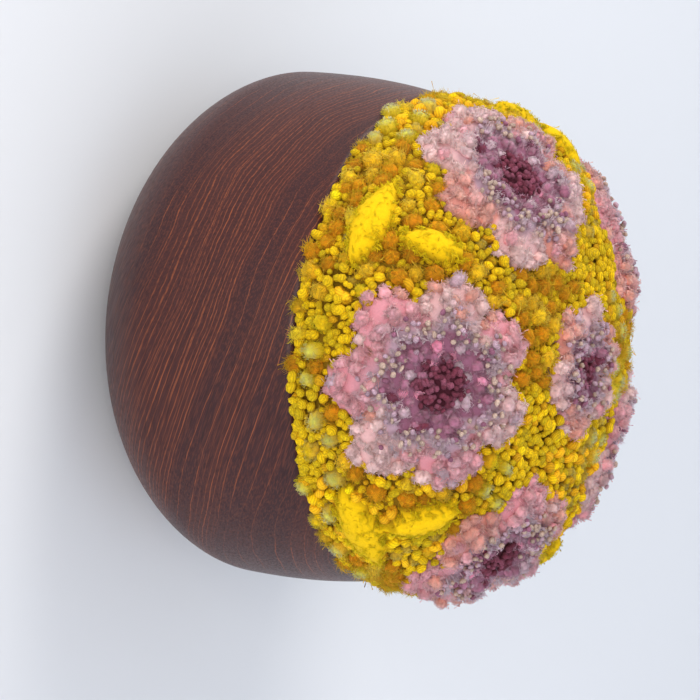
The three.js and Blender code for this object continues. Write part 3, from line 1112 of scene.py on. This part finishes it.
class WALLPIECE_OT_loops(bpy.types.Operator):
    """Punch the bulky golden loops of the ground"""

    bl_idname = "wall_piece.loops"
    bl_label = "Punched Loops"

    HEIGHT = 1.1  # share of the radius

    def execute(self, context):
        rng = seeded(2)
        finish = {"sheen": 0.25, "fleck": 0.6, "scale": 2200.0, "bump": 0.5}
        material = yarn_material("Looped Yarn", "gold", **finish, wound=True)
        gold = leaned(rng, stitch_layout()["gold_loop"], lean=0.3)
        tints = mixed_tints(rng, ("gold", "lemon", "mustard"), (5, 2, 1), len(gold.radius))
        upright = self.HEIGHT * gold.radius
        stitched("gold_loops", loop_template(), gold, tints, upright, upright, material)
        return {"FINISHED"}


# Tufts

# fibres is how many stand on each tuft or place, and spread the angle that they reach from upright. width is
# the radius of a root and length a fibre's own, both in millimetres, and wild is how unruly they lie.
Pile = namedtuple("Pile", "fibres spread width length wild")
CUT_PETAL = Pile(100, 1.6, 0.18, 1.7, 0.55)
CUT_RING = Pile(62, 1.55, 0.18, 1.6, 0.55)
DOT = Pile(96, 1.6, 0.16, 1.1, 0.45)
POMPOM = Pile(190, 1.7, 0.17, 1.0, 0.4)
FLUFF = Pile(150, 1.6, 0.14, 3.4, 0.4)
ROOT_FIBRES = Pile(10, 0.7, 0.24, 2.4, 0.25)
LEAF_FIBRES = Pile(12, 1.0, 0.2, 2.2, 0.4)

SLIVER = np.array([[2, 1, 0], [1, 3, 0], [2, 3, 1], [0, 3, 2]])  # a root's three corners and the tip
SLIVER_DYE_RANGE = (0.001, 0.98)
SLIVER_TINT_SPREAD = 0.05
# Painted shade: how strongly a fibre's root and a tuft's core are darkened
SLIVER_ROOT_SHADE = 0.5
CORE_SHADE = 0.3
TUFT_FACING = 0.75  # how far soft normals turn from the cloth's to the tuft's own
NORMAL_SPREAD = 0.06
FIBRE_LENGTHS = (0.6, 1.4)  # ranges, as shares of the pile's length and width and of a fibre's own length
FIBRE_WIDTHS = (0.7, 1.3)
FIBRE_SLIDES = (-0.15, 0.35)
TUFT_APART = 7  # step of the streak map from one tuft to the next
MIDDLE_RISE = 0.66  # how far up a tuft its middle colour starts, and over how much it fades in
MIDDLE_FADE = 0.2
ROOT_STAND = 0.3  # share of the pile's height over which the ends of root fibres lie
ROOT_LEAN = 0.2


X_AXIS, Y_AXIS = np.eye(3)[:2]
OFF_AXIS = 0.7


def across_of(direction):
    """Two unit vectors square to each direction and to one another."""
    off_x = np.abs(direction[:, :1]) < OFF_AXIS
    first = unit(np.cross(np.where(off_x, X_AXIS, Y_AXIS), direction))
    return first, np.cross(direction, first)


def in_middle(rise):
    """How much of a tuft's middle colour shows at a height on it."""
    return np.clip((rise - MIDDLE_RISE) / MIDDLE_FADE, 0, 1)


def fibre_mesh(rng, placed, upright, lift, tints, middle_tints, pile):
    """The fibres of many tufts, with soft normals and their map. Each fibre is a thin closed sliver, its root
    painted in shade.
    """
    tuft = np.repeat(np.arange(len(placed.radius)), pile.fibres)
    count = len(tuft)
    rise = 1 - rng.random(count) * (1 - math.cos(pile.spread))
    level = np.sqrt(1 - rise**2)
    turn = rng.random(count) * 2 * math.pi
    tangent, side, normal = placed.tangent[tuft], placed.side[tuft], placed.normal[tuft]
    outward = (level * np.cos(turn))[:, None] * tangent + (level * np.sin(turn))[:, None] * side
    above = lift[tuft] + upright[tuft] * rise
    tip = placed.point[tuft] + outward * placed.radius[tuft][:, None] + normal * above[:, None]
    facing = outward + normal * rise[:, None]
    heading = unit(facing + pile.wild * rng.normal(size=facing.shape))
    long = pile.length * MM * between(rng, *FIBRE_LENGTHS, count)
    tip = tip + heading * (between(rng, *FIBRE_SLIDES, count) * long)[:, None]
    root = tip - heading * long[:, None]
    first, second = across_of(heading)
    thick = pile.width * MM * between(rng, *FIBRE_WIDTHS, count)[:, None]
    thirds = [(math.cos(angle), math.sin(angle)) for angle in (0, 2 * math.pi / 3, 4 * math.pi / 3)]
    corners = [root + (first * cos + second * sin) * thick for cos, sin in thirds]
    dyed = blended(tints[tuft], middle_tints[tuft], in_middle(rise)[:, None])
    dyed = dyed * (1 + SLIVER_TINT_SPREAD * rng.normal(size=(count, 1)))
    # painted shade on each fibre's three root corners; its tip keeps the dyed colour
    painted_shade_tint = dyed * PAINTED_SHADE**SLIVER_ROOT_SHADE
    soft = unit(blended(normal, facing, TUFT_FACING) + NORMAL_SPREAD * rng.normal(size=facing.shape))
    around = tuft * TUFT_APART + np.abs(turn - math.pi) / math.pi
    return (
        np.stack([*corners, tip], 1).reshape(-1, 3),
        repeat_triangles(SLIVER, 4, count),
        np.clip(np.stack([painted_shade_tint, painted_shade_tint, painted_shade_tint, dyed], 1), *SLIVER_DYE_RANGE).reshape(-1, 3),
        np.repeat(soft, 4, axis=0),
        np.repeat(np.stack([around, rise], 1), 4, axis=0),
    )


@functools.cache
def core_template():
    """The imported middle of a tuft: a round lump."""
    deselect_all()
    bpy.ops.mesh.primitive_uv_sphere_add(segments=6, ring_count=4, radius=1)
    return template_arrays(bpy.context.object)


def core_mesh(placed, upright, lift, tints, middle_tints, fullness):
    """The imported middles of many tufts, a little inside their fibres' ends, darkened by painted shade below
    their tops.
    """
    points, triangles = core_template()
    copies = len(placed.radius)
    ones = np.ones(copies)
    round_points = spread_copies(points, placed, ones, ones, 0 * ones).reshape(copies, -1, 3)
    facing = blended(placed.normal[:, None, :], round_points - placed.point[:, None, :], TUFT_FACING)
    # painted shade over the core, giving way near its top to the middle colour unshaded
    painted_shade_tint = tints * PAINTED_SHADE**CORE_SHADE
    dyed = blended(painted_shade_tint[:, None, :], middle_tints[:, None, :], in_middle(points[:, 2])[None, :, None])
    turn = np.abs(np.arctan2(points[:, 1], points[:, 0])) / math.pi
    around = (np.arange(copies) * TUFT_APART)[:, None] + turn[None]
    return (
        spread_copies(points, placed, fullness * placed.radius, fullness * upright, lift),
        repeat_triangles(triangles, len(points), copies),
        dyed.reshape(-1, 3),
        facing.reshape(-1, 3),
        np.stack([around.ravel(), np.tile(points[:, 2], copies)], 1),
    )


def tufted(
    name, rng, placed, upright, lift, tints, pile, material, middle_tints=None, fullness=0.8, roots=()
):
    """A piece of many tufts: packed middles, the fibres over them, and those on the roots between."""
    middles = tints if middle_tints is None else middle_tints
    core = core_mesh(placed, upright, lift, tints, middles, fullness)
    hair = fibre_mesh(rng, placed, upright, lift, tints, middles, pile)
    return dress(joined_mesh(name, *joined_parts([core, hair, *roots])), material)


def root_fibres(rng, zone, tint_of, spacing, height, flower=None, pile=ROOT_FIBRES):
    """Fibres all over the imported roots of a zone, up to a share of the pile's height, that hide the cloth."""
    along, around = crown().draw(rng, int(crown().area / spacing**2))
    places = crown().places(along, around)
    worked = worked_at(places[0])
    wanted = worked.zone == zone
    if flower is not None:
        wanted &= worked.flower == flower
    worked = Worked(*(column[wanted] for column in worked))
    radius = np.full(len(worked.zone), spacing)
    placed = Placed(*(column[wanted] for column in places), radius, *worked[1:])
    upright = ROOT_STAND * placed.pile
    lift = height * placed.pile - upright
    placed = leaned(rng, placed, ROOT_LEAN)
    tints = tint_of(worked)
    return fibre_mesh(rng, placed, upright, lift, tints, tints, pile)


def plain_tints(name):
    """Dyes every place in one yarn's colour."""
    return lambda worked: np.tile(yarn_colour(name), (len(worked.zone), 1))


def joined_parts(parts):
    """Several sets of points, triangles, colours, normals and maps as one."""
    starts = np.cumsum([0] + [len(part[0]) for part in parts])
    moved = [(points, corners + start, *rest) for (points, corners, *rest), start in zip(parts, starts)]
    return tuple(np.concatenate(columns) for columns in zip(*moved))


class WALLPIECE_OT_petals(bpy.types.Operator):
    """Tuft the flowers' petals and the mauve rings inside them in cut pile, each flower its own piece"""

    bl_idname = "wall_piece.petals"
    bl_label = "Petals"

    STRAY_SHARE = 0.22
    TINT_SPREAD = 0.08
    PETAL_HEIGHTS = (0.8, 1.2)  # heights are shares of the radius, and sinks of the height
    PETAL_SINKS = (0.5, 1.1)
    RING_HEIGHTS = (0.9, 1.4)
    RING_SINK = 0.7

    def execute(self, context):
        rng = seeded(3)
        finish = {"sheen": 0.6, "fleck": 0.4, "scale": 2300.0, "bump": 0.15, "streaked": 0.06}
        petal_yarn = yarn_material("Petal Cut Pile", "pink", **finish)
        for number in range(len(FLOWERS)):
            self.tuft_petals(rng, petal_yarn, number)
        self.tuft_rings(rng, yarn_material("Ring Cut Pile", "mauve", **finish))
        return {"FINISHED"}

    def tuft_petals(self, rng, material, number):
        layout = stitch_layout()["petal_tuft"]
        placed = leaned(rng, chosen(layout, layout.flower == number), lean=0.3, stretch=0.22)
        count = len(placed.radius)
        stray = mixed_tints(rng, ("salmon", "pink", "pale_pink", "lilac"), (1, 1, 1, 1), count, spread=0.05)
        strays = (rng.random(count) < self.STRAY_SHARE)[:, None]
        tints = np.where(strays, stray, petal_tints(placed))
        tints = tints * (1 + self.TINT_SPREAD * rng.normal(size=(count, 1)))
        upright = placed.radius * between(rng, *self.PETAL_HEIGHTS, count)
        lift = placed.pile - between(rng, *self.PETAL_SINKS, count) * upright
        roots = root_fibres(rng, PETAL_ZONE, petal_tints, spacing=2.4 * MM, height=0.84, flower=number)
        name = f"flower_{number + 1}_petals"
        tufted(name, rng, placed, upright, lift, tints, CUT_PETAL, material, roots=[roots])

    def tuft_rings(self, rng, material):
        ring = leaned(rng, stitch_layout()["mauve_tuft"], lean=0.35, stretch=0.22)
        count = len(ring.radius)
        tints = mixed_tints(rng, ("mauve", "plum", "lilac", "rose"), (7, 1, 2, 1), count)
        upright = ring.radius * between(rng, *self.RING_HEIGHTS, count)
        lift = ring.pile - self.RING_SINK * upright
        roots = [
            root_fibres(rng, RING_ZONE, plain_tints("mauve"), spacing=1.9 * MM, height=0.84),
            root_fibres(rng, SLUB_ZONE, plain_tints("lilac"), spacing=1.7 * MM, height=1.0),
        ]
        tufted("mauve_rings", rng, ring, upright, lift, tints, CUT_RING, material, roots=roots)


class WALLPIECE_OT_velvet(bpy.types.Operator):
    """Tuft the velvet leaves and the velvet dots of the ground"""

    bl_idname = "wall_piece.velvet"
    bl_label = "Velvet Leaves and Dots"

    DOT_LIFT = 0.5  # share of the radius

    def execute(self, context):
        rng = seeded(4)
        finish = {"sheen": 0.3, "fleck": 0.4, "scale": 2600.0, "bump": 0.3}
        material = yarn_material("Velvet Pile", "lemon", **finish, streaked=0.08)
        lemon = plain_tints("lemon")
        leaf = root_fibres(rng, LEAF_ZONE, lemon, spacing=1.1 * MM, height=1.12, pile=LEAF_FIBRES)
        dress(joined_mesh("velvet_leaves", *leaf), material)
        dot = leaned(rng, stitch_layout()["velvet_dot"], lean=0.1)
        tints = mixed_tints(rng, ("olive", "mustard", "chartreuse"), (6, 2, 1), len(dot.radius), spread=0.1)
        lift = self.DOT_LIFT * dot.radius
        tufted("velvet_dots", rng, dot, dot.radius, lift, tints, DOT, material)
        return {"FINISHED"}


class WALLPIECE_OT_pompoms(bpy.types.Operator):
    """Tie the pompoms, golden with a lime middle"""

    bl_idname = "wall_piece.pompoms"
    bl_label = "Pompoms"

    LIFT = 0.4  # share of the radius

    def execute(self, context):
        rng = seeded(5)
        placed = leaned(rng, stitch_layout()["pompom"], lean=0.1)
        count = len(placed.radius)
        finish = {"sheen": 0.25, "fleck": 0.4, "scale": 2200.0, "bump": 0.2}
        material = yarn_material("Pompom Yarn", "chartreuse", **finish, streaked=0.12)
        tints = mixed_tints(rng, ("mustard", "chartreuse", "olive"), (2, 4, 2), count, spread=0.08)
        middles = mixed_tints(rng, ("lime", "yellow"), (6, 1), count, spread=0.06)
        lift = self.LIFT * placed.radius
        tufted("lime_pompoms", rng, placed, placed.radius, lift, tints, POMPOM, material, middles)
        return {"FINISHED"}


class WALLPIECE_OT_fluff(bpy.types.Operator):
    """Comb out the long ochre fluff"""

    bl_idname = "wall_piece.fluff"
    bl_label = "Ochre Fluff"

    LIFT = 0.3  # share of the radius

    def execute(self, context):
        rng = seeded(6)
        placed = leaned(rng, stitch_layout()["fluff"], lean=0.25)
        finish = {"sheen": 0.4, "fleck": 0.4, "scale": 1500.0, "bump": 0.2}
        material = yarn_material("Combed Fluff", "ochre", **finish, streaked=0.25)
        tints = mixed_tints(rng, ("ochre", "gold", "mustard"), (5, 2, 1), len(placed.radius), spread=0.1)
        lift = self.LIFT * placed.radius
        tufted("ochre_fluff", rng, placed, placed.radius, lift, tints, FLUFF, material, fullness=0.72)
        return {"FINISHED"}


# Stage


class WALLPIECE_OT_stage(bpy.types.Operator):
    """Set the pale backdrop and floor, the soft light and the camera"""

    bl_idname = "wall_piece.stage"
    bl_label = "Stage"

    BACKDROP_SIDE = 6.0
    SKY = linear(236, 242, 250)
    LAMP = linear(255, 248, 238)
    LAMP_SIZE = 0.9
    KEY_PLACE = (0.25, -0.75, 1.4)
    CARD_PLACE = (-1.3, -0.7, 0.35)
    LAMP_AIM = Vector((0, -0.08, 0))
    SENSOR = 36
    NEAREST = 0.01

    def execute(self, context):
        stage = settings().stage
        self.set_backdrop(stage)
        self.set_light(stage)
        self.set_camera(context.scene, stage)
        return {"FINISHED"}

    def backdrop_material(self, stage):
        """A plain pale finish, clear from behind and to the light of what is seen from behind."""
        material, board = new_material("Pale Backdrop")
        pale = board.add("ShaderNodeBsdfDiffuse", {"Color": opaque(stage.backdrop)}).outputs[0]
        clear = board.add("ShaderNodeBsdfTransparent").outputs[0]
        back = board.add("ShaderNodeNewGeometry").outputs["Backfacing"]
        passed = board.add("ShaderNodeLightPath").outputs["Transparent Depth"]
        behind = board.math("ADD", back, passed, clamp=True)
        either = board.add("ShaderNodeMixShader", {0: behind, 1: pale, 2: clear}).outputs[0]
        board.add("ShaderNodeOutputMaterial", {"Surface": either})
        return material

    def set_backdrop(self, stage):
        material = self.backdrop_material(stage)
        for name, place, turn in (
            ("backdrop", (0, stage.wall_gap, 0), QUARTER_TURN),
            ("floor", (0, 0, -stage.floor_drop), (0, 0, 0)),
        ):
            deselect_all()
            bpy.ops.mesh.primitive_plane_add(size=self.BACKDROP_SIDE, location=place, rotation=turn)
            plane = bpy.context.object
            plane.name = name
            plane.data.materials.append(material)

    def set_light(self, stage):
        scene = bpy.context.scene
        world = bpy.data.worlds.new("Soft Studio")
        world.use_nodes = True
        scene.world = world
        scene.view_settings.view_transform = "Standard"
        sky = world.node_tree.nodes["Background"].inputs
        sky["Color"].default_value = opaque(self.SKY)
        sky["Strength"].default_value = stage.fill_strength
        self.hang_light("Key", self.KEY_PLACE, stage.key_power)
        self.hang_light("Card", self.CARD_PLACE, stage.card_power)

    def hang_light(self, name, place, power):
        """A large round light, turned to the piece."""
        lamp = bpy.data.lights.new(name, "AREA")
        lamp.shape = "DISK"
        lamp.size = self.LAMP_SIZE
        lamp.energy = power
        lamp.color = self.LAMP
        light = bpy.data.objects.new(name, lamp)
        light.location = place
        light.rotation_euler = (self.LAMP_AIM - light.location).to_track_quat("-Z", "Y").to_euler()
        bpy.context.scene.collection.objects.link(light)

    def set_camera(self, scene, stage):
        turn, rise = stage.azimuth, stage.elevation
        back = Vector((math.sin(turn) * math.cos(rise), -math.cos(turn) * math.cos(rise), math.sin(rise)))
        right = Vector((math.cos(turn), math.sin(turn), 0))
        up = back.cross(right)
        aim = Vector((0, -stage.aim_depth, 0)) + right * stage.aim_right - up * stage.aim_down
        lens = bpy.data.cameras.new("Camera")
        lens.sensor_width = self.SENSOR
        lens.lens = stage.focal
        lens.clip_start = self.NEAREST
        camera = bpy.data.objects.new("Camera", lens)
        camera.location = aim + back * stage.distance
        camera.rotation_euler = (-back).to_track_quat("-Z", "Y").to_euler()
        scene.collection.objects.link(camera)
        scene.camera = camera


# Add-on

OPERATORS = (
    WALLPIECE_OT_turned_bowl,
    WALLPIECE_OT_ground_cloth,
    WALLPIECE_OT_knots,
    WALLPIECE_OT_loops,
    WALLPIECE_OT_petals,
    WALLPIECE_OT_velvet,
    WALLPIECE_OT_pompoms,
    WALLPIECE_OT_fluff,
    WALLPIECE_OT_stage,
)


class WALLPIECE_PT_sidebar(bpy.types.Panel):
    """Lists the pieces of the wall piece"""

    bl_idname = "WALLPIECE_PT_sidebar"
    bl_label = "Wall Piece"
    bl_space_type = "VIEW_3D"
    bl_region_type = "UI"
    bl_category = "Wall Piece"

    def draw(self, context):
        for operator in OPERATORS:
            self.layout.operator(operator.bl_idname)


CLASSES = (
    BowlSettings,
    DomeSettings,
    YarnColours,
    StageSettings,
    WallPieceSettings,
    *OPERATORS,
    WALLPIECE_PT_sidebar,
)


def register():
    for cls in CLASSES:
        bpy.utils.register_class(cls)
    bpy.types.Scene.wall_piece = PointerProperty(type=WallPieceSettings)


def unregister():
    del bpy.types.Scene.wall_piece
    for cls in reversed(CLASSES):
        bpy.utils.unregister_class(cls)


def main():
    register()
    for operator in OPERATORS:
        group, name = operator.bl_idname.split(".")
        getattr(getattr(bpy.ops, group), name)()


if __name__ == "__main__":
    main()
